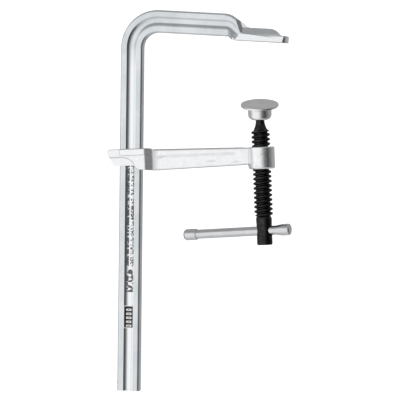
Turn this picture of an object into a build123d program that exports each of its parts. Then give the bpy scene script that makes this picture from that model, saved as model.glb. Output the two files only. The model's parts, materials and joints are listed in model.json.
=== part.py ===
from build123d import *
import os
from math import cos, hypot, radians, sin, sqrt, tan

# All-steel sliding-arm screw clamp.
# The origin is the point where the screw's axis meets the fixed jaw's clamping face.
# +Z runs up along the rail and +X points from the rail towards the screw.  Millimetres, degrees.

os.makedirs("parts", exist_ok=True)

# ---------------------------------------------------------------- driving dimensions
# rolled profile bar
RAIL_WIDTH = 19.5
RAIL_DEPTH = 9.5
RAIL_CORNER = 1.9
GROOVE_RADIUS = 5.2
GROOVE_DEPTH = 2.0
GROOVE_BROW = 0.5
RAIL_TO_SCREW = 110.8
RAIL_BOTTOM = -304.5
BEND_RADIUS = 23.0
DROOP = 3.0
STOP_LENGTH = 11.0
STOP_HEIGHT = 0.8
STOP_RISE = 5.0
STOP_HALF = 2.0

# how the groove turns down and runs out beside the rib, measured along and up from the drooping arm
GROOVE_TURN = -24.5
GROOVE_END = (-14.5, 4.5)
GROOVE_END_RADIUS = 9.0
GROOVE_FADE = 1.9

# forged fixed jaw, measured along and up from the drooping arm
ARM_UNDERSIDE = 3.0
JAW_BACK = -25.0
JAW_HEEL = -20.2
JAW_TIP = 27.0
JAW_HALF_BACK = 9.5
JAW_HALF_TIP = 8.6
JAW_DRAFT = 0.15
JAW_TIP_ROUND = 6.0
HEEL_ROUND = 4.0
HEEL_RISE = 0.8
FACE_ROUND = 0.6
LIP_START = 20.5
LIP_HEIGHT = 6.0
LIP_ROUND = 1.2
FLANK_BACK = 7.2
FLANK_TIP = 2.8
LEDGE_RISE = 0.8
RIB_ROOT_HALF = 3.9
RIB_ROOT_LEVEL = 5.0
RIB_CREST_HALF = 1.9
RIB_CREST_LEVEL = 11.5
CREASE_TOP = (-19.0, 17.8)
CREASE_FOOT = (-14.3, 6.9)
# position along the arm, lowest and highest level, half thickness
RIB_SECTIONS = (
    (-29.0, 3.0, 22.5, 4.8), (-26.5, 3.0, 22.3, 4.8), (-23.7, 3.0, 21.5, 4.8), (-20.4, 2.2, 19.6, 4.8),
    (-16.2, 1.5, 17.0, 4.8), (-12.4, 1.5, 14.2, 4.8), (-9.0, 1.5, 12.1, 4.8), (-5.0, 1.5, 11.5, 4.8),
    (3.0, 1.5, 11.5, 4.8), (12.0, 1.5, 11.5, 4.8), (15.8, 1.5, 10.3, 4.8), (18.8, 1.5, 7.8, 4.8),
    (21.5, 1.5, 5.8, 4.8))

# sliding arm, measured square to the screw and along it from the boss's centre
SCREW_TILT = 3.0
BOSS_DROP = 100.2
BOSS_DIA = 23.0
BOSS_HEIGHT = 19.0
BOSS_EDGE = 1.2
HEAD_HALF = 10.2
HEAD_TOP = 12.5
WEB_HALF = 4.9
HEAD_ROUND = 0.8
WEB_ROUND = 2.0
BOSS_ROOT = 1.5
HEAD_SIDE = (
    (-134.8, HEAD_TOP), (-135.1, 8.8), (-133.7, 5.6), (-129.6, -2.1), (-112.0, -2.1), (-107.5, -5.9),
    (-101.5, -6.4), (-94.0, -7.2), (-94.0, 11.3), (-97.5, 11.0), (-101.5, HEAD_TOP))
HEAD_SIDE_ROUNDS = {0: 1.8, 1: 2.5, 2: 2.0, 3: 2.0, 4: 3.0, 5: 3.0}
HEAD_PLAN_ROUNDS = {1: 1.5, 2: 3.0, 5: 3.0, 6: 1.5}
WEB_SIDE = (
    (-96.0, 11.35), (-17.5, 9.8), (-13.5, 9.3), (0, 9.3),
    (0, -5.3), (-13.5, -5.3), (-17.5, -5.6), (-96.0, -7.2))
RAMP_START = -101.5
RAMP_END = -94.0
SLOT_GAP = 0.35
BAND_PROUD = 0.6
BAND_LENGTH = 21.6
BAND_MIDDLE = -112.6
BAND_FOOT = 6.4
BAND_EDGE = 0.4
SUNK_DEPTH = 0.8
SUNK_SIDE = (
    (-138, 5.7), (-122.5, 5.7), (-116.0, 4.3), (-112.2, 1.2), (-109.0, -4.5), (-109.0, -12), (-138, -12))
SUNK_ROUNDS = {1: 5.0, 2: 6.0, 3: 8.0}

# screw
THREAD_DIA = 16.0
THREAD_TOP = -75.6
THREAD_BOTTOM = -151.3
FLARE_DIA = 11.4
NECK_DIA = 7.6
COVE_LENGTH = 6.5
THREAD_CHAMFER = 1.6
THREAD_SHOULDER = 1.2
HEAD_CHAMFER = 0.8
HEAD_DIA = 13.5
HEAD_BOTTOM = -175.2
HOLE_DROP = -162.9
RUNNING_GAP = 0.08

# swivel joint, measured from the centre of the ball
BALL_DROP = -62.2
CAVITY_RADIUS = 5.9
RING_RADIUS = 5.8
RING_HALF = 2.2
RING_SPLIT = 1.2
SPIGOT_RADIUS = 3.0
COLLAR_RADIUS = 4.2
NOSE_RADIUS = 5.0
LIP_DROP = 3.0
MOUTH_RADIUS = 6.2
INSERT_RADIUS = 3.6
INSERT_TOP = 7.2
PAD_DIA = 32.6
PAD_RIM = 2.0
PAD_TOP = 8.9
PAD_BOTTOM = -4.3
CUP_DIA = 20.3
CUP_ROUND = 3.4
PAD_LEAN = 17.5
PAD_LEAN_TURN = 17.0

# tommy bar
BAR_DIA = 8.0
BAR_LENGTH = 98.5
BAR_RIGHT = 23.9
BAR_TURN = -8.0
BAR_SAG = 1.2
HOLE_GAP = 0.25
KNOB_LENGTH = 12.0
KNOB_WALL = 2.0
LEFT_KNOB_DIA = 9.8
RIGHT_KNOB_DIA = 10.1

# plain label in the groove
LABEL_WIDTH = 8.2
LABEL_HEIGHT = 19.7
LABEL_THICKNESS = 0.15
LABEL_LEVEL = -240.1

# ---------------------------------------------------------------- frames
RAIL_X = -RAIL_TO_SCREW
RIB_START = RIB_SECTIONS[0][0]
GROOVE_RISE = RAIL_DEPTH / 2 + GROOVE_RADIUS - GROOVE_DEPTH
ARM_FRAME = Location((0, 0, 0), (0, DROOP, 0))
SCREW_FRAME = Location((0, 0, 0), (0, -SCREW_TILT, 0))
BOSS_FRAME = SCREW_FRAME * Location((0, 0, -BOSS_DROP))
BALL_FRAME = SCREW_FRAME * Location((0, 0, BALL_DROP))
PAD_FRAME = BALL_FRAME * Location((0, 0, 0), (0, 0, PAD_LEAN_TURN)) * Location((0, 0, 0), (PAD_LEAN, 0, 0))
HOLE_FRAME = SCREW_FRAME * Location((0, 0, HOLE_DROP)) * Location((0, 0, 0), (0, 0, BAR_TURN))
BAR_FRAME = HOLE_FRAME * Location((0, 0, 0), (0, -BAR_SAG, 0))


def mirrored_outline(points):
    """Close an outline given on the +Y side by repeating it on the -Y side."""
    return points + [(u, -y) for u, y in reversed(points)]


def mirrored_section(points):
    """Close an outline of (y, height) points in the same way."""
    return points + [(-y, w) for y, w in reversed(points)]


def rounded_face(points, radii=None):
    """Face of an outline, with the numbered corners rounded."""
    face = make_face(Polyline(*points, close=True))
    for index, radius in (radii or {}).items():
        u, v = points[index]
        corner = min(face.vertices(), key=lambda vertex: (vertex.X - u) ** 2 + (vertex.Y - v) ** 2)
        face = fillet(corner, radius)
    return face


def side_solid(points, half, radii=None):
    """Extrude an outline drawn in the X-Z plane equally to both sides of Y = 0."""
    return extrude(Plane.XZ * rounded_face(points, radii), half, both=True)


def plan_solid(points, low, high, radii=None):
    """Extrude an outline drawn in the X-Y plane from one height to another."""
    return extrude(Pos(0, 0, low) * rounded_face(points, radii), high - low)


def turned(points, radii=None):
    """Revolve an outline of (radius, height) points about Z, with the numbered corners rounded."""
    return revolve(Plane.XZ * rounded_face(points, radii), Axis.Z)


# ---------------------------------------------------------------- fixed bar
def rail_profile():
    """Flat bar with rounded corners and a shallow round groove along both broad faces."""
    face = RectangleRounded(RAIL_WIDTH, RAIL_DEPTH, RAIL_CORNER)
    for side in (1, -1):
        face -= Pos(0, side * GROOVE_RISE) * Circle(GROOVE_RADIUS)
    brows = [v for v in face.vertices() if abs(v.X) < GROOVE_RADIUS and abs(v.Y) > RAIL_DEPTH / 2 - 0.01]
    return fillet(brows, GROOVE_BROW)


def bent_rail():
    """The profile swept up the rail, round the bend and out along the drooping arm."""
    arm_level = (ARM_UNDERSIDE + RAIL_WIDTH / 2) / cos(radians(DROOP))
    arm_end = ARM_FRAME * Pos(RIB_START + 1, 0, ARM_UNDERSIDE + RAIL_WIDTH / 2)
    corner = (RAIL_X, 0, arm_level + RAIL_TO_SCREW * tan(radians(DROOP)))
    path = FilletPolyline((RAIL_X, 0, RAIL_BOTTOM), corner, arm_end.position, radius=BEND_RADIUS)
    return sweep(Pos(RAIL_X, 0, RAIL_BOTTOM) * rail_profile(), path)


def groove_end(side):
    """Where the groove turns down and runs out beside the rib; side is +1 or -1."""
    middle = ARM_UNDERSIDE + RAIL_WIDTH / 2
    begin = (RIB_START - 1, 0, middle)
    end = (GROOVE_END[0], side * GROOVE_FADE, GROOVE_END[1])
    path = FilletPolyline(begin, (GROOVE_TURN, 0, middle), end, radius=GROOVE_END_RADIUS)
    start = Plane(begin, x_dir=(0, 1, 0), z_dir=(1, 0, 0))
    return Pos(0, side * GROOVE_RISE, 0) * sweep(start * Circle(GROOVE_RADIUS), path)


def bar_end():
    """The bar's end, upset to full thickness and drawn down in height towards the tip."""
    sections = []
    for u, low, top, half in RIB_SECTIONS:
        place = Plane((u, 0, (low + top) / 2), x_dir=(0, 1, 0), z_dir=(1, 0, 0))
        sections.append(place * RectangleRounded(2 * half, top - low, RAIL_CORNER))
    return loft(sections)


def rib_side(side):
    """What the die takes off one flank to leave the rib; side is +1 or -1.

    It starts at the slanting crease, behind which the bar keeps its full thickness."""
    outline = [(RIB_ROOT_HALF, -5), (RIB_ROOT_HALF, RIB_ROOT_LEVEL), (RIB_CREST_HALF, RIB_CREST_LEVEL),
               (RIB_CREST_HALF, 40), (20, 40), (20, -5)]
    outline = [(side * y, w) for y, w in outline]
    flank = Plane.YZ.offset(-40) * make_face(Polyline(*outline, close=True))
    run = Vector(CREASE_FOOT[0] - CREASE_TOP[0], 0, CREASE_FOOT[1] - CREASE_TOP[1]).normalized()
    outwards = Vector(-run.Z, side, run.X).normalized()
    crease = Plane((CREASE_TOP[0], side * RAIL_DEPTH / 2, CREASE_TOP[1]), x_dir=run, z_dir=outwards)
    return extrude(flank, 80) & crease * Pos(0, 0, 50) * Box(200, 200, 100)


def jaw_rib():
    return bar_end() - rib_side(1) - rib_side(-1)


def jaw_section(u, top, ledge=()):
    """Cross-section of the foot's blank: flanks that lean in by the draft, then any ledge above."""
    share = (u - JAW_BACK) / (JAW_TIP - JAW_BACK)
    half = JAW_HALF_BACK + share * (JAW_HALF_TIP - JAW_HALF_BACK)
    flank = [(half - JAW_DRAFT * w, w) for w in (-1, top)]
    outline = mirrored_section(flank + [(y, top + rise) for y, rise in ledge])
    return Plane.YZ.offset(u) * make_face(Polyline(*outline, close=True))


def jaw_foot():
    """The wide foot under the rib, cut flat below, with a sloping heel and a blunt round lip."""
    ledge = [(RIB_ROOT_HALF - 0.5, LEDGE_RISE)]
    foot = loft([jaw_section(JAW_BACK - 2, FLANK_BACK, ledge), jaw_section(JAW_TIP, FLANK_TIP, ledge)])
    lip = loft([jaw_section(LIP_START, LIP_HEIGHT), jaw_section(JAW_TIP, LIP_HEIGHT)])
    plan = [(JAW_BACK, RAIL_DEPTH / 2), (JAW_HEEL + 1, JAW_HALF_BACK + 0.5), (JAW_TIP, JAW_HALF_TIP + 0.5)]
    corners = {1: HEEL_ROUND, 2: JAW_TIP_ROUND, 3: JAW_TIP_ROUND, 4: HEEL_ROUND}
    keep = plan_solid(mirrored_outline(plan), 0, 20, corners)
    heel = [(JAW_BACK - 1, ARM_UNDERSIDE + HEEL_RISE), (JAW_HEEL, 0), (JAW_TIP + 1, 0), (JAW_TIP + 1, 20),
            (JAW_BACK - 1, 20)]
    foot = (foot + lip) & keep & side_solid(heel, 20)
    middles = [(edge, edge.center()) for edge in foot.edges()]
    lip_edges = [edge for edge, c in middles if c.Z > LIP_HEIGHT - 0.05 and c.X > LIP_START + 0.1]
    foot = fillet(lip_edges, LIP_ROUND)
    face_edges = [edge for edge in foot.edges() if edge.center().Z < 0.05 and edge.length > JAW_TIP]
    return fillet(face_edges, FACE_ROUND)


def end_stop():
    """Swaged bump on the outer edge that keeps the sliding arm on the rail."""
    base = Pos(RAIL_X - RAIL_WIDTH / 2 + 0.5, 0, RAIL_BOTTOM + STOP_RISE + STOP_LENGTH / 2)
    wedge = [(0, -STOP_LENGTH / 2), (-0.5 - STOP_HEIGHT, -STOP_LENGTH / 2 + 1), (0, STOP_LENGTH / 2)]
    return base * side_solid(wedge, STOP_HALF)


def fixed_bar():
    bar = bent_rail() + end_stop() + ARM_FRAME * (jaw_rib() + jaw_foot())
    for side in (1, -1):
        bar -= ARM_FRAME * groove_end(side)
    return bar


# ---------------------------------------------------------------- sliding arm
def arm_head():
    """Forged eye that wraps the rail, cut away below its outer half."""
    ramp = HEAD_HALF - WEB_HALF
    plan = [(-137, HEAD_HALF), (RAMP_START, HEAD_HALF), (RAMP_START + ramp, WEB_HALF), (RAMP_END, WEB_HALF)]
    block = side_solid(HEAD_SIDE, HEAD_HALF, HEAD_SIDE_ROUNDS)
    block = fillet([edge for edge in block.edges() if abs(edge.center().Y) > HEAD_HALF - 0.05], HEAD_ROUND)
    return block & plan_solid(mirrored_outline(plan), -20, 20, HEAD_PLAN_ROUNDS)


def cheek_relief():
    """Raised band along the top of each cheek, and the sunk pad below it."""
    band = Box(BAND_LENGTH, 2 * (HEAD_HALF + BAND_PROUD), HEAD_TOP - BAND_FOOT - 0.6)
    band = Pos(BAND_MIDDLE, 0, (HEAD_TOP + BAND_FOOT) / 2) * band
    band = chamfer(band.edges().group_by(Axis.Z)[-1] + band.edges().group_by(Axis.Z)[0], BAND_EDGE)
    sunk = side_solid(SUNK_SIDE, HEAD_HALF + 2, SUNK_ROUNDS)
    keep = Box(400, 2 * (HEAD_HALF - SUNK_DEPTH), 400)
    return band, sunk - keep


def arm_web():
    """Tapered bar between the eye and the boss."""
    web = side_solid(WEB_SIDE, WEB_HALF)
    long_edges = [edge for edge in web.edges() if edge.length > 20]
    return fillet(long_edges, WEB_ROUND)


def boss():
    """Round tapped boss at the arm's outer end."""
    body = Cylinder(BOSS_DIA / 2, BOSS_HEIGHT)
    body = fillet(body.edges().group_by(Axis.Z)[-1], BOSS_EDGE)
    return chamfer(body.edges().group_by(Axis.Z)[0], BOSS_EDGE)


def web_and_boss():
    """The web run into the boss, with a small fillet all round the join."""
    joined = arm_web() + boss()
    middles = [(edge, edge.center()) for edge in joined.edges()]
    on_wall = [(edge, c) for edge, c in middles if abs(hypot(c.X, c.Y) - BOSS_DIA / 2) < 1 and c.X < -8]
    join = [edge for edge, c in on_wall if abs(c.Z) < BOSS_HEIGHT / 2 - 0.1]
    return fillet(join, BOSS_ROOT)


def sliding_arm():
    band, sunk = cheek_relief()
    arm = arm_head() + web_and_boss()
    arm = arm + band - sunk
    arm -= Cylinder(THREAD_DIA / 2 + RUNNING_GAP, BOSS_HEIGHT + 2)
    window = Pos(RAIL_X, 0, -BOSS_DROP) * Box(
        RAIL_WIDTH + 2 * SLOT_GAP, RAIL_DEPTH + 2 * SLOT_GAP, 60)
    return BOSS_FRAME * arm - window


# ---------------------------------------------------------------- screw
def screw():
    """Turned screw: nose and spigot in the pad, neck, threaded length and drilled head.

    The threaded length is drawn at the thread's outside diameter."""
    nose_rise = sqrt(NOSE_RADIUS ** 2 - COLLAR_RADIUS ** 2)
    z = BALL_DROP
    half_gap = RING_HALF + 0.25
    crest, flare, neck, head = THREAD_DIA / 2, FLARE_DIA / 2, NECK_DIA / 2, HEAD_DIA / 2
    outline = Polyline(
        (COLLAR_RADIUS, z + nose_rise), (COLLAR_RADIUS, z + half_gap), (SPIGOT_RADIUS, z + half_gap),
        (SPIGOT_RADIUS, z - half_gap), (neck, z - half_gap), (neck, THREAD_TOP + COVE_LENGTH))
    cove = TangentArc((neck, THREAD_TOP + COVE_LENGTH), (flare, THREAD_TOP), tangent=(0, -1))
    shank = Polyline(
        (flare, THREAD_TOP), (crest, THREAD_TOP - THREAD_CHAMFER), (crest, THREAD_BOTTOM + THREAD_SHOULDER),
        (head, THREAD_BOTTOM), (head, HEAD_BOTTOM + HEAD_CHAMFER), (head - HEAD_CHAMFER, HEAD_BOTTOM),
        (0, HEAD_BOTTOM), (0, z + NOSE_RADIUS))
    halfway = radians(28)
    dome = ThreePointArc(
        (0, z + NOSE_RADIUS), (NOSE_RADIUS * sin(halfway), z + NOSE_RADIUS * cos(halfway)),
        (COLLAR_RADIUS, z + nose_rise))
    body = revolve(Plane.XZ * make_face(outline + cove + shank + dome), Axis.Z)
    bore = Rot(0, 90, 0) * Cylinder(BAR_DIA / 2 + HOLE_GAP, 3 * HEAD_DIA)
    return SCREW_FRAME * body - HOLE_FRAME * bore


# ---------------------------------------------------------------- tommy bar
def tommy_bar():
    """Plain round bar, hanging a little out of square in its loose hole."""
    length = BAR_LENGTH - 2 * KNOB_WALL
    bar = Pos(BAR_RIGHT - BAR_LENGTH / 2, 0, 0) * Rot(0, 90, 0) * Cylinder(BAR_DIA / 2, length)
    return BAR_FRAME * chamfer(bar.edges(), 0.4)


def end_knob(tip, turn, outside, mouth, flare, end_round):
    """Pressed-on cap that swells from its mouth to its full diameter over the flare's length."""
    bore, full = BAR_DIA / 2, outside / 2
    inner = KNOB_LENGTH - KNOB_WALL
    outline = [(bore, 0), (mouth, 0), (full, flare), (full, KNOB_LENGTH),
               (0, KNOB_LENGTH), (0, inner), (bore, inner)]
    knob = turned(outline, {2: flare, 3: end_round})
    return BAR_FRAME * Pos(tip, 0, 0) * Rot(0, turn, 0) * Pos(0, 0, -KNOB_LENGTH) * knob


def left_knob():
    return end_knob(BAR_RIGHT - BAR_LENGTH, -90, LEFT_KNOB_DIA, LEFT_KNOB_DIA / 2 - 0.3, 0.8, 3.0)


def right_knob():
    return end_knob(BAR_RIGHT, 90, RIGHT_KNOB_DIA, BAR_DIA / 2 + 0.25, 5.0, 1.8)


# ---------------------------------------------------------------- swivel pad
def pressure_pad():
    """Round pad with a socket cup that swivels on the screw's nose."""
    cup, rim = CUP_DIA / 2, PAD_DIA / 2
    under = PAD_TOP - PAD_RIM
    outline = [(0, PAD_TOP), (rim - 0.4, PAD_TOP), (rim, PAD_TOP - 0.4), (rim, under + 0.3),
               (rim - 0.3, under), (cup + 1.2, under - 0.5), (cup, under - 1.6),
               (cup, PAD_BOTTOM), (0, PAD_BOTTOM)]
    body = turned(outline, {7: CUP_ROUND})
    lip_radius = sqrt(CAVITY_RADIUS ** 2 - LIP_DROP ** 2)
    mouth = turned([(0, -LIP_DROP), (lip_radius, -LIP_DROP), (MOUTH_RADIUS, PAD_BOTTOM),
                    (MOUTH_RADIUS, PAD_BOTTOM - 1), (0, PAD_BOTTOM - 1)])
    cavity = Sphere(CAVITY_RADIUS) & Pos(0, 0, 10 - LIP_DROP) * Box(20, 20, 20)
    pocket = plan_cylinder(INSERT_RADIUS + RUNNING_GAP, 0, INSERT_TOP + RUNNING_GAP)
    return PAD_FRAME * (body - cavity - mouth - pocket)


def plan_cylinder(radius, low, high):
    return Pos(0, 0, (low + high) / 2) * Cylinder(radius, high - low)


def thrust_insert():
    """Hardened seat between the screw's nose and the pad."""
    blank = plan_cylinder(INSERT_RADIUS, 0, INSERT_TOP)
    return PAD_FRAME * (blank - Sphere(NOSE_RADIUS + RUNNING_GAP))


def swivel_ring():
    """Split spring ring round the spigot; its ball-shaped outside holds the pad on."""
    ring = Sphere(RING_RADIUS) & Box(20, 20, 2 * RING_HALF)
    ring -= Cylinder(SPIGOT_RADIUS + RUNNING_GAP, 20)
    ring -= Pos(RING_RADIUS, 0, 0) * Box(2 * RING_RADIUS, RING_SPLIT, 20)
    return BALL_FRAME * ring


# ---------------------------------------------------------------- label
def blank_label():
    """Thin foil that follows the groove on the front face."""
    skin = offset(rail_profile(), LABEL_THICKNESS) - rail_profile()
    foil = extrude(Pos(0, 0, -LABEL_HEIGHT / 2) * skin, LABEL_HEIGHT)
    keep = Pos(0, -RAIL_DEPTH / 2, 0) * Box(LABEL_WIDTH, RAIL_DEPTH, LABEL_HEIGHT)
    keep = fillet(keep.edges().filter_by(Axis.Y), 0.8)
    return Pos(RAIL_X, 0, LABEL_LEVEL) * (foil & keep)


PARTS = {
    "fixed_bar": fixed_bar,
    "sliding_arm": sliding_arm,
    "screw": screw,
    "tommy_bar": tommy_bar,
    "left_knob": left_knob,
    "right_knob": right_knob,
    "swivel_ring": swivel_ring,
    "thrust_insert": thrust_insert,
    "pressure_pad": pressure_pad,
    "blank_label": blank_label,
}

for name, make in PARTS.items():
    solid = make()
    export_step(solid, f"parts/{name}.step")
    size = solid.bounding_box().size
    print(f"{name}: {size.X:.1f} x {size.Y:.1f} x {size.Z:.1f} mm, {solid.volume:.0f} mm3")
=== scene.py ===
import json
import math

import bmesh
import bpy
from mathutils import Matrix, Vector


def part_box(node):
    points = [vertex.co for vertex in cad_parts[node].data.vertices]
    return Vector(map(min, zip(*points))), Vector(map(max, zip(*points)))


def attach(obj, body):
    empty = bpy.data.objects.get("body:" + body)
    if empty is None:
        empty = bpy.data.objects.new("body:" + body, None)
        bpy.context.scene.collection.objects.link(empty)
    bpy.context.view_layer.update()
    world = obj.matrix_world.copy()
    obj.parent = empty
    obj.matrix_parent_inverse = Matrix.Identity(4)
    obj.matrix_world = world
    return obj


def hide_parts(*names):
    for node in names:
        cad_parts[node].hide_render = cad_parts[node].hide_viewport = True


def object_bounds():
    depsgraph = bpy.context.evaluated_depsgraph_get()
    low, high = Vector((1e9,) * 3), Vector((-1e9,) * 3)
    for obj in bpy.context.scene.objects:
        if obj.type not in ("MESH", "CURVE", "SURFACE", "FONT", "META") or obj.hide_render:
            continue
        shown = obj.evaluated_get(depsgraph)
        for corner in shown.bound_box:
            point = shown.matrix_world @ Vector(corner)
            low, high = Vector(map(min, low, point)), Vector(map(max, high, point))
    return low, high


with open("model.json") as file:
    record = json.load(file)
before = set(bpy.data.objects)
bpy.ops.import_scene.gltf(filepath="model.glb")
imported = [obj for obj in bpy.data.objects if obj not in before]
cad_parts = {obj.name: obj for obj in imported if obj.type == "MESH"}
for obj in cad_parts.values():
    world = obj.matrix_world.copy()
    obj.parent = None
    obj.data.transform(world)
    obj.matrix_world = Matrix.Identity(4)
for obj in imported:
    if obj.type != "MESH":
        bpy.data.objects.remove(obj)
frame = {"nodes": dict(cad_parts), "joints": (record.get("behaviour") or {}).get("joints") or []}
NODES = frame["nodes"]
JOINTS = {joint["name"]: joint for joint in frame["joints"]}
CAD_BOX = [list(corner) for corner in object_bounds()]
MM = 0.001
RAIL_X = (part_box("blank_label")[0].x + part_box("blank_label")[1].x) / 2


# ---------------------------------------------------------------- camera and studio
CAMERA_AZIMUTH = math.radians(14.0)
CAMERA_ELEVATION = math.radians(1.2)
CAMERA_DISTANCE = 2.2
CAMERA_ROLL = math.radians(0.67)
CAMERA_LENS = 228.6
CAMERA_TARGET = Vector((-0.0489, 0.0, -0.1372))
FLOOR_DROP = 0.12
BACKDROP_LEVEL = 1.05
KEY_PLACE, KEY_AIM = (-0.9, -1.6, 0.5), (-0.03, 0, -0.12)
KEY_SIZE, KEY_POWER = (1.2, 1.2), 8

# brightness of the light tent by compass direction, in degrees from -Y towards +X
TENT = (
    (-180, 0.40), (-110, 0.42), (-75, 0.7), (-60, 0.97), (-22, 0.97), (-14, 0.93), (2, 0.88), (14, 0.66),
    (38, 0.20), (68, 0.05), (95, 0.18), (124, 0.34), (150, 0.40), (180, 0.40))
# brightness straight up and straight down, and the steepness at which each takes over
TENT_ABOVE, ABOVE_STARTS, ABOVE_FULL = 0.38, 0.30, 0.62
TENT_BELOW, BELOW_STARTS, BELOW_FULL = 0.66, 0.60, 0.95


def add_camera():
    back = Vector((
        math.sin(CAMERA_AZIMUTH) * math.cos(CAMERA_ELEVATION),
        -math.cos(CAMERA_AZIMUTH) * math.cos(CAMERA_ELEVATION),
        math.sin(CAMERA_ELEVATION)))
    data = bpy.data.cameras.new("camera")
    data.lens = CAMERA_LENS
    data.sensor_width = 36.0
    data.clip_start, data.clip_end = 0.05, 30.0
    camera = bpy.data.objects.new("camera", data)
    bpy.context.scene.collection.objects.link(camera)
    camera.location = CAMERA_TARGET + back * CAMERA_DISTANCE
    turn = (-back).to_track_quat("-Z", "Y").to_matrix() @ Matrix.Rotation(CAMERA_ROLL, 3, "Z")
    camera.rotation_euler = turn.to_euler()
    bpy.context.scene.camera = camera


def add_floor(level):
    """Pale floor that curves up into a backdrop behind the object."""
    size, height, radius = 6.0, 4.0, 1.5
    outline = [(-size, 0.0)]
    steps = 16
    for i in range(steps + 1):
        a = math.pi / 2 * i / steps
        outline.append((size - radius + radius * math.sin(a), radius * (1 - math.cos(a))))
    outline.append((size, height))
    mesh = bpy.data.meshes.new("floor")
    verts = [(x, y, z) for y, z in outline for x in (-size, size)]
    faces = [(2 * i, 2 * i + 1, 2 * i + 3, 2 * i + 2) for i in range(len(outline) - 1)]
    mesh.from_pydata(verts, [], faces)
    mesh.shade_smooth()
    floor = bpy.data.objects.new("floor", mesh)
    bpy.context.scene.collection.objects.link(floor)
    floor.location = (0, 0, level)
    material, _, _, shader = new_material("floor_paper")
    shader.inputs["Base Color"].default_value = (0.9, 0.9, 0.9, 1)
    shader.inputs["Roughness"].default_value = 0.9
    shader.inputs["Emission Color"].default_value = (1, 1, 1, 1)
    shader.inputs["Emission Strength"].default_value = 0.6
    floor.data.materials.append(material)
    floor.visible_glossy = False


def area_light(name, location, target, size, power):
    """Soft light that lifts the matt surfaces without showing as a reflection."""
    data = bpy.data.lights.new(name, "AREA")
    data.shape = "RECTANGLE"
    data.size, data.size_y = size
    data.energy = power
    light = bpy.data.objects.new(name, data)
    bpy.context.scene.collection.objects.link(light)
    light.location = location
    light.rotation_euler = (Vector(target) - Vector(location)).to_track_quat("-Z", "Y").to_euler()
    light.visible_glossy = False


def add_world():
    """Light tent: bright on the left, dark on the right, so that polished steel shows its edges."""
    world = bpy.data.worlds.new("studio")
    world.use_nodes = True
    bpy.context.scene.world = world
    nodes, links = world.node_tree.nodes, world.node_tree.links
    nodes.clear()

    def blend(factor, first, second):
        node = nodes.new("ShaderNodeMix")
        node.data_type = "FLOAT"
        links.new(factor, node.inputs["Factor"])
        links.new(first, node.inputs["A"])
        node.inputs["B"].default_value = second
        return node.outputs["Result"]

    coords = nodes.new("ShaderNodeTexCoord")
    split = nodes.new("ShaderNodeSeparateXYZ")
    links.new(coords.outputs["Generated"], split.inputs[0])
    x, y, z = split.outputs
    angle = calc(nodes, links, "ARCTAN2", x, calc(nodes, links, "MULTIPLY", y, -1.0))
    turn = calc(nodes, links, "MULTIPLY_ADD", angle, 1 / (2 * math.pi), 0.5)
    around = nodes.new("ShaderNodeValToRGB")
    stops = around.color_ramp.elements
    while len(stops) < len(TENT):
        stops.new(0.5)
    for stop, (azimuth, level) in zip(stops, TENT):
        stop.position = (azimuth + 180) / 360
        stop.color = (level, level, level, 1)
    links.new(turn, around.inputs["Fac"])
    down = calc(nodes, links, "MULTIPLY", z, -1.0)
    level = blend(rise(nodes, links, z, ABOVE_STARTS, ABOVE_FULL), around.outputs["Color"], TENT_ABOVE)
    level = blend(rise(nodes, links, down, BELOW_STARTS, BELOW_FULL), level, TENT_BELOW)

    out = nodes.new("ShaderNodeOutputWorld")
    tent = nodes.new("ShaderNodeBackground")
    plain = nodes.new("ShaderNodeBackground")
    mix = nodes.new("ShaderNodeMixShader")
    path = nodes.new("ShaderNodeLightPath")
    plain.inputs["Strength"].default_value = BACKDROP_LEVEL
    plain.inputs["Color"].default_value = (1, 1, 1, 1)
    tent.inputs["Color"].default_value = (0.98, 0.99, 1.0, 1)
    links.new(level, tent.inputs["Strength"])
    links.new(path.outputs["Is Camera Ray"], mix.inputs["Fac"])
    links.new(tent.outputs[0], mix.inputs[1])
    links.new(plain.outputs[0], mix.inputs[2])
    links.new(mix.outputs[0], out.inputs["Surface"])


# ---------------------------------------------------------------- material helpers
def new_material(name):
    material = bpy.data.materials.new(name)
    material.use_nodes = True
    nodes, links = material.node_tree.nodes, material.node_tree.links
    return material, nodes, links, nodes["Principled BSDF"]


def object_coords(nodes):
    return nodes.new("ShaderNodeTexCoord").outputs["Object"]


def noise(nodes, links, scale, detail=4.0, stretch=(1, 1, 1), rough=0.6):
    """Noise in object space, in features per metre."""
    mapping = nodes.new("ShaderNodeMapping")
    mapping.inputs["Scale"].default_value = stretch
    texture = nodes.new("ShaderNodeTexNoise")
    texture.inputs["Scale"].default_value = scale
    texture.inputs["Detail"].default_value = detail
    texture.inputs["Roughness"].default_value = rough
    links.new(object_coords(nodes), mapping.inputs["Vector"])
    links.new(mapping.outputs["Vector"], texture.inputs["Vector"])
    return texture.outputs["Fac"]


def ramp(nodes, links, value, low, high, start=0.35, end=0.65):
    """Map a value to a colour or grey between low and high."""
    node = nodes.new("ShaderNodeValToRGB")
    node.color_ramp.elements[0].position = start
    node.color_ramp.elements[1].position = end
    node.color_ramp.elements[0].color = (*low, 1)
    node.color_ramp.elements[1].color = (*high, 1)
    links.new(value, node.inputs["Fac"])
    return node.outputs["Color"]


def bump(nodes, links, value, strength, distance, under=None):
    node = nodes.new("ShaderNodeBump")
    node.inputs["Strength"].default_value = strength
    node.inputs["Distance"].default_value = distance
    links.new(value, node.inputs["Height"])
    if under is not None:
        links.new(under, node.inputs["Normal"])
    return node.outputs["Normal"]


def calc(nodes, links, operation, *values):
    """One Math node; each value is a number or another node's output."""
    node = nodes.new("ShaderNodeMath")
    node.operation = operation
    for socket, value in zip(node.inputs, values):
        if isinstance(value, (int, float)):
            socket.default_value = value
        else:
            links.new(value, socket)
    return node.outputs[0]


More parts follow.
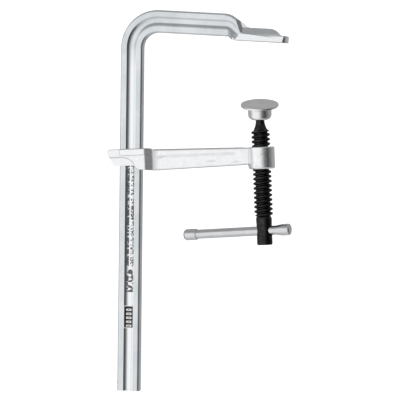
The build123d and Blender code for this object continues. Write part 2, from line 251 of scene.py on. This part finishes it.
def rise(nodes, links, value, start, end):
    """0 at the start and 1 at the end, with an easy curve between; the end may be the lower."""
    node = nodes.new("ShaderNodeMapRange")
    node.interpolation_type = "SMOOTHSTEP"
    node.inputs["From Min"].default_value = start
    node.inputs["From Max"].default_value = end
    links.new(value, node.inputs["Value"])
    return node.outputs["Result"]


def product(nodes, links, first, second):
    return calc(nodes, links, "MULTIPLY", first, second)


def millimetres(nodes, links, origin, turn=None):
    """Object coordinates as separate X, Y and Z in millimetres from an origin, in a turned frame."""
    shift = nodes.new("ShaderNodeVectorMath")
    shift.operation = "SUBTRACT"
    links.new(object_coords(nodes), shift.inputs[0])
    shift.inputs[1].default_value = origin
    turned = []
    for axis in turn or Matrix.Identity(3):
        dot = nodes.new("ShaderNodeVectorMath")
        dot.operation = "DOT_PRODUCT"
        links.new(shift.outputs["Vector"], dot.inputs[0])
        dot.inputs[1].default_value = Vector(axis) / MM
        turned.append(dot.outputs["Value"])
    return turned


def within(nodes, links, value, low, high, soft=0.1):
    """1 between low and high and 0 outside, with soft edges."""
    middle, half = (low + high) / 2, (high - low) / 2
    away = calc(nodes, links, "ABSOLUTE", calc(nodes, links, "SUBTRACT", value, middle))
    return rise(nodes, links, away, half + soft, half - soft)


def tint(nodes, links, mask, under, over):
    """Colour that is the one given over wherever the mask is 1."""
    node = nodes.new("ShaderNodeMix")
    node.data_type = "RGBA"
    links.new(mask, node.inputs["Factor"])
    links.new(under, node.inputs["A"])
    node.inputs["B"].default_value = (*over, 1)
    return node.outputs["Result"]


def grey(level):
    return (level, level, level)


# ---------------------------------------------------------------- materials
# all in millimetres; the foot is placed in the frame, the groove and the ticks from the rail's middle
BOSS_RADIUS = 11.5
# the foot and groove spans mark where the fixed bar gets a paler colour, which is painted light
FOOT_START, FOOT_SPAN = -20.0, (-2.0, 6.0)
GROOVE_HALF, GROOVE_SPAN, GROOVE_FADE = 4.4, (-400.0, -12.0), 14.0
# blocks of printed ticks: left, right, bottom and top edge, ticks per metre, share left bare
PRINT_BLOCKS = (
    (-4.2, -0.6, -196.0, -99.0, 950, 0.34), (0.6, 3.6, -196.0, -99.0, 1000, 0.70),
    (-3.9, 3.2, -218.4, -197.5, 620, 0.40))
# painted shade on the sliding arm for a ridge, a dent and the step from eye to web: span along it, span
# across it, softness and depth
ARM_SHADE_MARKS = (
    ((-90, -22), (4.6, 7.2), 1.8, 0.17), ((-48, -40), (-0.4, 0.6), 2.4, 0.34),
    ((-98, -94), (-9, 14), 4.5, 0.60))
CREASE_REACH = 1.6
# the label's dark field, the blocks on it and the dark middle of each block, placed from its centre
LABEL_STEP, LABEL_SHIFT = 3.5, 20.0
FIELD_HALF, FIELD_MARGIN = 3.9, 0.6
BLOCK_HALF, BLOCK_SHARE, BLOCK_MARGIN = 2.4, (0.24, 0.76), 1.4
MIDDLE_HALF, MIDDLE_SHARE = 1.3, (0.42, 0.58)


def creases(nodes, links, reach):
    """1 deep in the inside corners of the surface and 0 on open faces."""
    node = nodes.new("ShaderNodeAmbientOcclusion")
    node.only_local = True
    node.samples = 12
    node.inputs["Distance"].default_value = reach
    return rise(nodes, links, node.outputs["AO"], 0.97, 0.60)


def rounded_edges(nodes, links):
    """1 where the surface has turned away from the two broad sides."""
    split = nodes.new("ShaderNodeSeparateXYZ")
    links.new(nodes.new("ShaderNodeTexCoord").outputs["Normal"], split.inputs[0])
    return rise(nodes, links, calc(nodes, links, "ABSOLUTE", split.outputs["Y"]), 0.90, 0.55)


def printed_ticks(nodes, links):
    """Mask of the blocks of plain printed ticks down the front groove."""
    x, y, z = millimetres(nodes, links, (RAIL_X, 0, 0))
    front = calc(nodes, links, "LESS_THAN", y, 0.0)
    blocks = []
    for low, high, start, end, scale, bare in PRINT_BLOCKS:
        texture = nodes.new("ShaderNodeTexVoronoi")
        texture.inputs["Scale"].default_value = scale
        texture.inputs["Randomness"].default_value = 0.8
        mapping = nodes.new("ShaderNodeMapping")
        mapping.inputs["Location"].default_value = (0, 0, low)
        mapping.inputs["Scale"].default_value = (0.55, 0.0, 1.0)
        links.new(object_coords(nodes), mapping.inputs["Vector"])
        links.new(mapping.outputs["Vector"], texture.inputs["Vector"])
        tone = nodes.new("ShaderNodeSeparateColor")
        links.new(texture.outputs["Color"], tone.inputs["Color"])
        tick = calc(nodes, links, "GREATER_THAN", tone.outputs["Red"], bare)
        column = product(nodes, links, within(nodes, links, x, low, high), tick)
        blocks.append(product(nodes, links, column, within(nodes, links, z, start, end)))
    printed = calc(nodes, links, "ADD", calc(nodes, links, "ADD", *blocks[:2]), blocks[2])
    return product(nodes, links, printed, front)


def plated_steel():
    """Bright zinc plating over rolled steel, with faint drawing lines, a strip of printed ticks, and painted
    light on the groove and the foot, which are paler than the flanges.
    """
    material, nodes, links, shader = new_material("bright_zinc")
    mottle = noise(nodes, links, 45, 3.0)
    flange = ramp(nodes, links, mottle, (0.70, 0.73, 0.75), (0.81, 0.83, 0.85))
    x, _, z = millimetres(nodes, links, (RAIL_X, 0, 0))
    # painted light: the front groove and the foot are paler than the flanges and stand in for the brighter
    # light they reflect
    groove = product(nodes, links, within(nodes, links, x, -GROOVE_HALF, GROOVE_HALF, 0.3),
                     within(nodes, links, z, *GROOVE_SPAN, GROOVE_FADE))
    past_heel = calc(nodes, links, "GREATER_THAN", x, FOOT_START - RAIL_X / MM)
    foot = product(nodes, links, past_heel, within(nodes, links, z, *FOOT_SPAN, 0.8))
    bright = calc(nodes, links, "MAXIMUM", groove, foot)
    zinc = tint(nodes, links, bright, flange, (0.97, 0.98, 0.99))
    ink = product(nodes, links, printed_ticks(nodes, links), 0.92)
    links.new(tint(nodes, links, ink, zinc, (0.03, 0.03, 0.03)), shader.inputs["Base Color"])
    links.new(calc(nodes, links, "SUBTRACT", 1.0, ink), shader.inputs["Metallic"])
    lines = noise(nodes, links, 900, 3.0, (1, 1, 0.02))
    links.new(ramp(nodes, links, lines, grey(0.10), grey(0.20)), shader.inputs["Roughness"])
    fine = bump(nodes, links, lines, 0.08, 0.0002)
    waves = noise(nodes, links, 60, 2.0)
    links.new(bump(nodes, links, waves, 0.06, 0.001, fine), shader.inputs["Normal"])
    return material


def forged_steel():
    """Blasted and plated forging, turned bright round the boss, with painted shade in its creases, on its
    rounded edges and as marks for a ridge, a dent and the step from eye to web.
    """
    material, nodes, links, shader = new_material("plated_forging")
    axis, across = screw_axis(), Vector((0, 1, 0))
    along = Matrix((axis.cross(across) * -1, across, axis))
    low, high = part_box("sliding_arm")
    centre = (high.x - BOSS_RADIUS * MM, 0, (low.z + high.z) / 2)
    u, y, w = millimetres(nodes, links, centre, along)
    squares = calc(nodes, links, "ADD", product(nodes, links, u, u), product(nodes, links, y, y))
    off_axis = calc(nodes, links, "SQRT", squares)
    on_boss = within(nodes, links, off_axis, -1.0, BOSS_RADIUS + 0.4, 0.3)
    mottle = noise(nodes, links, 330, 6.0, rough=0.7)
    skin = ramp(nodes, links, mottle, (0.93, 0.93, 0.94), (1.0, 1.0, 1.0))
    blotches = noise(nodes, links, 110, 5.0, (0.45, 1, 1.2))
    stain = nodes.new("ShaderNodeSeparateColor")
    links.new(ramp(nodes, links, blotches, grey(1.0), grey(0.0), 0.28, 0.38), stain.inputs["Color"])
    dull = product(nodes, links, stain.outputs["Red"], 0.35)
    worn = tint(nodes, links, dull, skin, (0.45, 0.45, 0.46))
    # painted shade: the inside corners and creases of the forging are darkened
    crease_shade = product(nodes, links, creases(nodes, links, CREASE_REACH * MM), 0.75)
    off_boss = calc(nodes, links, "SUBTRACT", 1.0, on_boss)
    # painted shade: the rounded edges away from the boss are darkened
    edges = product(nodes, links, rounded_edges(nodes, links), off_boss)
    painted_shade = calc(nodes, links, "MAXIMUM", crease_shade, product(nodes, links, edges, 0.55))
    # painted shade: darker marks standing in for the shading of a ridge, a dent and the step from eye to web
    for along_arm, across_arm, soft, depth in ARM_SHADE_MARKS:
        patch = product(nodes, links, within(nodes, links, u, *along_arm, soft),
                        within(nodes, links, w, *across_arm, soft / 2))
        painted_shade = calc(nodes, links, "MAXIMUM", painted_shade, product(nodes, links, patch, depth))
    # all the painted shade darkens the forging's colour towards this grey
    links.new(tint(nodes, links, painted_shade, worn, (0.22, 0.21, 0.22)), shader.inputs["Base Color"])
    metal = calc(nodes, links, "MULTIPLY_ADD", on_boss, 0.23, 0.75)
    links.new(metal, shader.inputs["Metallic"])
    rough = ramp(nodes, links, mottle, grey(0.38), grey(0.26))
    turned = nodes.new("ShaderNodeMix")
    turned.data_type = "RGBA"
    links.new(on_boss, turned.inputs["Factor"])
    links.new(rough, turned.inputs["A"])
    turned.inputs["B"].default_value = (0.17, 0.17, 0.17, 1)
    links.new(turned.outputs["Result"], shader.inputs["Roughness"])
    rings = noise(nodes, links, 700, 2.0, (0.02, 0.02, 1))
    grain = noise(nodes, links, 600, 3.0)
    fine = bump(nodes, links, grain, 0.10, 0.0002)
    waves = noise(nodes, links, 120, 3.0)
    uneven = bump(nodes, links, waves, 0.22, 0.001, fine)
    turning = product(nodes, links, rings, on_boss)
    links.new(bump(nodes, links, turning, 0.25, 0.0004, uneven), shader.inputs["Normal"])
    return material


def black_oxide():
    """Blackened, oiled screw steel, rubbed a little brighter here and there."""
    material, nodes, links, shader = new_material("black_oxide")
    shader.inputs["Metallic"].default_value = 1.0
    wear = noise(nodes, links, 350, 5.0)
    links.new(ramp(nodes, links, wear, grey(0.028), grey(0.075), 0.40, 0.80), shader.inputs["Base Color"])
    links.new(ramp(nodes, links, wear, grey(0.17), grey(0.27)), shader.inputs["Roughness"])
    links.new(bump(nodes, links, noise(nodes, links, 700, 2.0), 0.06, 0.0002), shader.inputs["Normal"])
    return material


def satin_steel(name, low, high, roughness):
    """Ground steel with fine variation."""
    material, nodes, links, shader = new_material(name)
    shader.inputs["Metallic"].default_value = 1.0
    mottle = noise(nodes, links, 160, 2.0)
    links.new(ramp(nodes, links, mottle, low, high), shader.inputs["Base Color"])
    sheen = ramp(nodes, links, mottle, grey(roughness - 0.02), grey(roughness + 0.03))
    links.new(sheen, shader.inputs["Roughness"])
    links.new(bump(nodes, links, noise(nodes, links, 150, 1.0), 0.02, 0.0002), shader.inputs["Normal"])
    return material


def foil():
    """Foil label: a dark field with a row of plain light blocks."""
    material, nodes, links, shader = new_material("label_foil")
    low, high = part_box("blank_label")
    x, y, z = millimetres(nodes, links, (low + high) / 2)
    half_height = (high.z - low.z) / 2 / MM
    field_rise, block_rise = half_height - FIELD_MARGIN, half_height - BLOCK_MARGIN
    field = product(nodes, links, within(nodes, links, x, -FIELD_HALF, FIELD_HALF),
                    within(nodes, links, z, -field_rise, field_rise))
    steps = calc(nodes, links, "DIVIDE", calc(nodes, links, "ADD", z, LABEL_SHIFT), LABEL_STEP)
    phase = calc(nodes, links, "FRACT", steps)
    block = product(nodes, links, within(nodes, links, phase, *BLOCK_SHARE, 0.05),
                    within(nodes, links, x, -BLOCK_HALF, BLOCK_HALF))
    middle = product(nodes, links, within(nodes, links, phase, *MIDDLE_SHARE, 0.05),
                     within(nodes, links, x, -MIDDLE_HALF, MIDDLE_HALF))
    light = calc(nodes, links, "SUBTRACT", block, middle)
    light = product(nodes, links, light, within(nodes, links, z, -block_rise, block_rise))
    dark = calc(nodes, links, "SUBTRACT", field, light)
    paper = ramp(nodes, links, noise(nodes, links, 200, 2.0), grey(0.82), grey(0.88))
    links.new(tint(nodes, links, dark, paper, (0.02, 0.02, 0.022)), shader.inputs["Base Color"])
    shader.inputs["Roughness"].default_value = 0.3
    return material


def dress(node, material):
    """Give a CAD piece its material."""
    slots = NODES[node].data.materials
    slots.clear()
    slots.append(material)


# ---------------------------------------------------------------- screw
# lengths in millimetres, the weld in metres; heights run along the screw from the centre of the pad's swivel
THREAD_PITCH = 4.0
THREAD_TOP = -13.2
THREAD_BOTTOM = -89.1
THREAD_PHASE = 0.9
CREST_RADIUS = 8.05
ROOT_RADIUS = 5.9
THREAD_COLUMNS = 96
# one pitch of the thread: how far up it, and how full the section is there
THREAD_FORM = ((0.0, 0.0), (0.07, 0.03), (0.16, 0.30), (0.25, 0.70), (0.33, 0.94), (0.42, 1.0),
               (0.58, 1.0), (0.67, 0.94), (0.75, 0.70), (0.84, 0.30), (0.93, 0.03))
RUN_OUT_BOTTOM, RUN_OUT_TOP = 2.5, 2.0
HEAD_BOTTOM = -113.0
HOLE_LEVEL = -100.7
HOLE_RADIUS = 4.25
HOLE_MOUTH = 5.3
SHARP_ANGLE = math.radians(40)
WELD_DISTANCE = 1e-6
# outlines as (radius, height); the drill's runs along the hole
NOSE_OUTLINE = (
    (0, 5.0), (1.6, 4.75), (3.0, 4.05), (4.2, 2.75), (4.2, 2.45), (3.0, 2.45), (3.0, -2.45),
    (3.7, -2.45), (3.75, -6.5), (3.95, -8.2), (4.35, -9.8), (4.9, -11.4), (5.5, -12.9),
    (5.95, -14.2), (5.0, -14.6), (0, -14.6))
HEAD_OUTLINE = (
    (0, -88.0), (5.8, -88.1), (6.2, -88.6), (6.75, -89.6), (6.85, -91.0), (6.65, -96.0),
    (6.55, HOLE_LEVEL), (6.65, -105.5), (6.75, HEAD_BOTTOM + 1.6), (6.55, HEAD_BOTTOM + 0.5),
    (5.9, HEAD_BOTTOM), (0, HEAD_BOTTOM))
DRILL_OUTLINE = (
    (0, -12), (HOLE_MOUTH + 3, -12), (HOLE_MOUTH, -6.9), (HOLE_RADIUS, -5.2), (HOLE_RADIUS, 5.2),
    (HOLE_MOUTH, 6.9), (HOLE_MOUTH + 3, 12), (0, 12))


def ring_point(bm, radius, angle, height):
    """Mesh point from a radius and height in millimetres."""
    return bm.verts.new((radius * math.cos(angle) * MM, radius * math.sin(angle) * MM, height * MM))


def lathe(bm, outline, columns=96):
    """Revolve (radius, height) points, in millimetres, about Z into the mesh."""
    rings = []
    for radius, height in outline:
        if radius == 0:
            rings.append([bm.verts.new((0, 0, height * MM))])
            continue
        angles = [2 * math.pi * j / columns for j in range(columns)]
        rings.append([ring_point(bm, radius, angle, height) for angle in angles])
    for low, high in zip(rings, rings[1:]):
        for j in range(columns):
            k = (j + 1) % columns
            if len(low) == 1:
                bm.faces.new((low[0], high[k], high[j]))
            elif len(high) == 1:
                bm.faces.new((low[j], low[k], high[0]))
            else:
                bm.faces.new((low[j], low[k], high[k], high[j]))


def to_object(name, bm):
    bmesh.ops.recalc_face_normals(bm, faces=bm.faces)
    mesh = bpy.data.meshes.new(name)
    bm.to_mesh(mesh)
    bm.free()
    piece = bpy.data.objects.new(name, mesh)
    bpy.context.scene.collection.objects.link(piece)
    return piece


def smooth(value):
    value = min(1.0, max(0.0, value))
    return value * value * (3 - 2 * value)


def thread_mesh(bm):
    """Right-hand thread whose rows climb one pitch on the way round; it runs out at both ends."""
    turns = int((THREAD_TOP - THREAD_BOTTOM) / THREAD_PITCH) + 3
    rows = [(turn - 1 + up, full) for turn in range(turns) for up, full in THREAD_FORM]
    grid = []
    for up, full in rows:
        ring = []
        for j in range(THREAD_COLUMNS):
            share = j / THREAD_COLUMNS
            height = THREAD_BOTTOM + THREAD_PHASE + THREAD_PITCH * (up + share)
            height = min(THREAD_TOP, max(THREAD_BOTTOM, height))
            run_out = smooth((height - THREAD_BOTTOM) / RUN_OUT_BOTTOM)
            run_out *= smooth((THREAD_TOP - height) / RUN_OUT_TOP)
            radius = ROOT_RADIUS + (CREST_RADIUS - ROOT_RADIUS) * full * run_out
            ring.append(ring_point(bm, radius, 2 * math.pi * share, height))
        grid.append(ring)
    step, last = len(THREAD_FORM), THREAD_COLUMNS - 1
    for i in range(len(rows) - 1):
        for j in range(last):
            bm.faces.new((grid[i][j], grid[i][j + 1], grid[i + 1][j + 1], grid[i + 1][j]))
        if i + step + 1 < len(rows):
            bm.faces.new((grid[i][last], grid[i + step][0], grid[i + step + 1][0], grid[i + 1][last]))
    bmesh.ops.remove_doubles(bm, verts=bm.verts, dist=WELD_DISTANCE)
    bmesh.ops.dissolve_degenerate(bm, dist=WELD_DISTANCE, edges=bm.edges)


def drilled_head(turn):
    """Plain head of the screw, drilled across with flared mouths for the tommy bar."""
    bm = bmesh.new()
    lathe(bm, HEAD_OUTLINE)
    head = to_object("head", bm)
    cutter = bmesh.new()
    lathe(cutter, DRILL_OUTLINE, 48)
    drill = to_object("drill", cutter)
    drill.data.transform(Matrix.Translation((0, 0, HOLE_LEVEL * MM)) @ turn)
    modifier = head.modifiers.new("hole", "BOOLEAN")
    modifier.object = drill
    modifier.solver = "EXACT"
    cut = bpy.data.meshes.new_from_object(head.evaluated_get(bpy.context.evaluated_depsgraph_get()))
    for done in (head, drill):
        bpy.data.objects.remove(done)
    return cut


def screw_axis():
    return Vector(JOINTS["screw_turn"]["axis"]).normalized()


def screw_piece(material):
    """The visible screw, with a real thread, in place of the CAD one."""
    axis, across = screw_axis(), Vector((0, 1, 0))
    place = Matrix((across.cross(axis), across, axis)).transposed().to_4x4()
    bar = place.inverted().to_3x3() @ Vector(JOINTS["bar_slide"]["axis"])
    turn = Matrix.Rotation(math.atan2(bar.y, bar.x), 4, "Z") @ Matrix.Rotation(math.pi / 2, 4, "Y")
    head = drilled_head(turn)
    bm = bmesh.new()
    thread_mesh(bm)
    lathe(bm, NOSE_OUTLINE)
    bmesh.ops.recalc_face_normals(bm, faces=bm.faces)
    bm.from_mesh(head)
    piece = bpy.data.objects.new("screw_turned", bpy.data.meshes.new("screw_turned"))
    bm.to_mesh(piece.data)
    bm.free()
    bpy.context.scene.collection.objects.link(piece)
    place.translation = JOINTS["screw_turn"]["pos_m"]
    piece.data.transform(place)
    piece.data.shade_smooth()
    piece.data.set_sharp_from_angle(angle=SHARP_ANGLE)
    piece.data.materials.append(material)
    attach(piece, "screw")
    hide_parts("screw")


# ---------------------------------------------------------------- build
add_camera()
add_world()
add_floor(CAD_BOX[0][2] - FLOOR_DROP)
area_light("key", KEY_PLACE, KEY_AIM, KEY_SIZE, KEY_POWER)
bpy.context.scene.view_settings.view_transform = "Standard"

dress("fixed_bar", plated_steel())
dress("sliding_arm", forged_steel())
oxide = black_oxide()
dress("screw", oxide)
screw_piece(oxide)
bar_steel = satin_steel("bar_steel", (0.71, 0.71, 0.72), (0.77, 0.77, 0.78), 0.21)
for name in ("tommy_bar", "left_knob", "right_knob"):
    dress(name, bar_steel)
dress("pressure_pad", satin_steel("pad_zinc", (0.88, 0.87, 0.86), (0.96, 0.95, 0.94), 0.19))
spring = satin_steel("spring_steel", (0.22, 0.22, 0.23), (0.34, 0.34, 0.35), 0.4)
for name in ("swivel_ring", "thrust_insert"):
    dress(name, spring)
dress("blank_label", foil())
